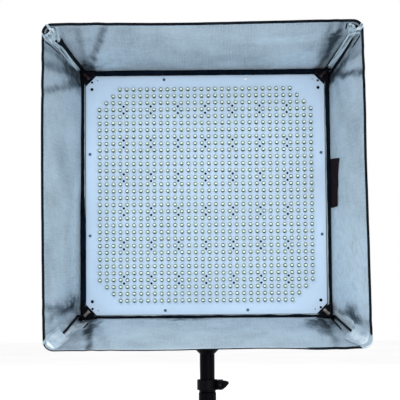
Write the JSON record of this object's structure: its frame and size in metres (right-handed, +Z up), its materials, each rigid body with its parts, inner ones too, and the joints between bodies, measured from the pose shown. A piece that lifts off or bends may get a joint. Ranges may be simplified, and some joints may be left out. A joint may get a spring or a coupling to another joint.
{
  "type": "led panel light",
  "caption": "Square LED panel studio light in a tilting U-yoke, with a flared silver-lined fabric skirt, on a clamp adapter that takes a stand spigot.",
  "frame": {"origin": "centre of the stand socket's mouth, at the adapter's lower end", "axes": "+Z up along the stand, -Y the way the light faces, +X to the right seen from the front"},
  "size_m": [0.452, 0.244, 0.6],
  "materials": {
    "stem_black": "satin black paint on steel tube",
    "black_paint": "fine-textured black powder coat",
    "black_plastic": "moulded, fine spark texture",
    "collar_plastic": "moulded, slightly glossy",
    "knob_plastic": "moulded, ribbed",
    "corner_plastic": "moulded",
    "steel": "zinc plated",
    "dc_metal": "nickel plated",
    "aluminium": "mill finish",
    "supply_case": "folded sheet",
    "white_board": "white solder mask, cool tint",
    "led_lens": "clear epoxy over pale yellow-green phosphor",
    "circuit_green": "solder mask",
    "display_glass": "smoked window",
    "rubber": "matte",
    "silver_cloth": "metallised silver lining, coated weave",
    "black_cloth": "black nylon",
    "rod_fibre": "glass-fibre rod, dark"
  },
  "bodies": {
    "adapter": {"socket_barrel": "stem_black", "clamp_collar": "collar_plastic", "clamp_screw": "steel", "lever_pin": "steel"},
    "clamp_lever": {"clamp_lever": "collar_plastic"},
    "spigot_knob": {"spigot_knob": "black_plastic"},
    "stem": {"stem_tube": "stem_black", "stem_flange": "stem_black", "pan_bolt": "steel"},
    "yoke": {"yoke": "black_paint"},
    "head": {"housing_frame": "black_paint", "led_board": "white_board", "led_array": "led_lens", "heat_spreader": "aluminium", "heat_sink": "aluminium", "driver_board": "circuit_green", "power_supply": "supply_case", "rear_cover": "black_paint", "control_panel": "black_plastic", "display_window": "display_glass", "switch_body": "black_plastic", "power_inlet": "black_plastic", "dc_inlet": "dc_metal", "battery_plate": "black_plastic", "closure_tab": "black_cloth", "skirt_band": "black_cloth", "pivot_boss_left": "black_paint", "friction_washer_left": "rubber", "tilt_stud_left": "steel", "pivot_boss_right": "black_paint", "friction_washer_right": "rubber", "tilt_stud_right": "steel", "skirt_right": "silver_cloth", "skirt_top": "silver_cloth", "skirt_left": "silver_cloth", "skirt_bottom": "silver_cloth", "skirt_rod_top_left": "rod_fibre", "corner_socket_top_left": "corner_plastic", "rod_pocket_top_left": "silver_cloth", "skirt_rod_top_right": "rod_fibre", "corner_socket_top_right": "corner_plastic", "rod_pocket_top_right": "silver_cloth", "skirt_rod_bottom_left": "rod_fibre", "corner_socket_bottom_left": "corner_plastic", "rod_pocket_bottom_left": "silver_cloth", "skirt_rod_bottom_right": "rod_fibre", "corner_socket_bottom_right": "corner_plastic", "rod_pocket_bottom_right": "silver_cloth"},
    "tilt_knob_left": {"tilt_knob_left": "knob_plastic"},
    "tilt_knob_right": {"tilt_knob_right": "knob_plastic"},
    "dimmer_knob": {"dimmer_knob": "knob_plastic"},
    "power_rocker": {"power_rocker": "knob_plastic"},
    "battery_release": {"battery_release": "steel"},
    "mode_button_1": {"mode_button_1": "rubber"},
    "mode_button_2": {"mode_button_2": "rubber"},
    "mode_button_3": {"mode_button_3": "rubber"},
    "mode_button_4": {"mode_button_4": "rubber"}
  },
  "joints": [
    {"name": "stem_height", "type": "slide", "parent": "adapter", "child": "stem", "axis": [0, 0, 1], "range_m": [0, 0.025]},
    {"name": "yoke_pan", "type": "hinge", "parent": "stem", "child": "yoke", "pos_m": [0, 0, 0.158], "axis": [0, 0, 1], "continuous": true},
    {"name": "head_tilt", "type": "hinge", "parent": "yoke", "child": "head", "pos_m": [0, 0, 0.38], "axis": [-1, 0, 0], "range_deg": [-18, 90]},
    {"name": "lever_swing", "type": "hinge", "parent": "adapter", "child": "clamp_lever", "pos_m": [0.0188, -0.012, 0.1006], "axis": [0, 0, -1], "range_deg": [0, 100]},
    {"name": "spigot_knob_turn", "type": "hinge", "parent": "adapter", "child": "spigot_knob", "pos_m": [-0.02, 0, 0.025], "axis": [-1, 0, 0], "range_deg": [-360, 0]},
    {"name": "tilt_knob_left_turn", "type": "hinge", "parent": "head", "child": "tilt_knob_left", "pos_m": [-0.215, 0, 0.38], "axis": [-1, 0, 0], "range_deg": [-360, 0]},
    {"name": "tilt_knob_right_turn", "type": "hinge", "parent": "head", "child": "tilt_knob_right", "pos_m": [0.215, 0, 0.38], "axis": [1, 0, 0], "range_deg": [-360, 0]},
    {"name": "dimmer_turn", "type": "hinge", "parent": "head", "child": "dimmer_knob", "pos_m": [0.048, 0.04, 0.275], "axis": [0, 1, 0], "range_deg": [-140, 140]},
    {"name": "rocker_tip", "type": "hinge", "parent": "head", "child": "power_rocker", "pos_m": [0.13, 0.0276, 0.26], "axis": [1, 0, 0], "range_deg": [0, 16]},
    {"name": "release_press", "type": "slide", "parent": "head", "child": "battery_release", "axis": [-1, 0, 0], "range_m": [0, 0.003], "stiffness_N_per_m": 400},
    {"name": "button_1_press", "type": "slide", "parent": "head", "child": "mode_button_1", "axis": [0, -1, 0], "range_m": [0, 0.0012], "stiffness_N_per_m": 250},
    {"name": "button_2_press", "type": "slide", "parent": "head", "child": "mode_button_2", "axis": [0, -1, 0], "range_m": [0, 0.0012], "stiffness_N_per_m": 250},
    {"name": "button_3_press", "type": "slide", "parent": "head", "child": "mode_button_3", "axis": [0, -1, 0], "range_m": [0, 0.0012], "stiffness_N_per_m": 250},
    {"name": "button_4_press", "type": "slide", "parent": "head", "child": "mode_button_4", "axis": [0, -1, 0], "range_m": [0, 0.0012], "stiffness_N_per_m": 250}
  ]
}
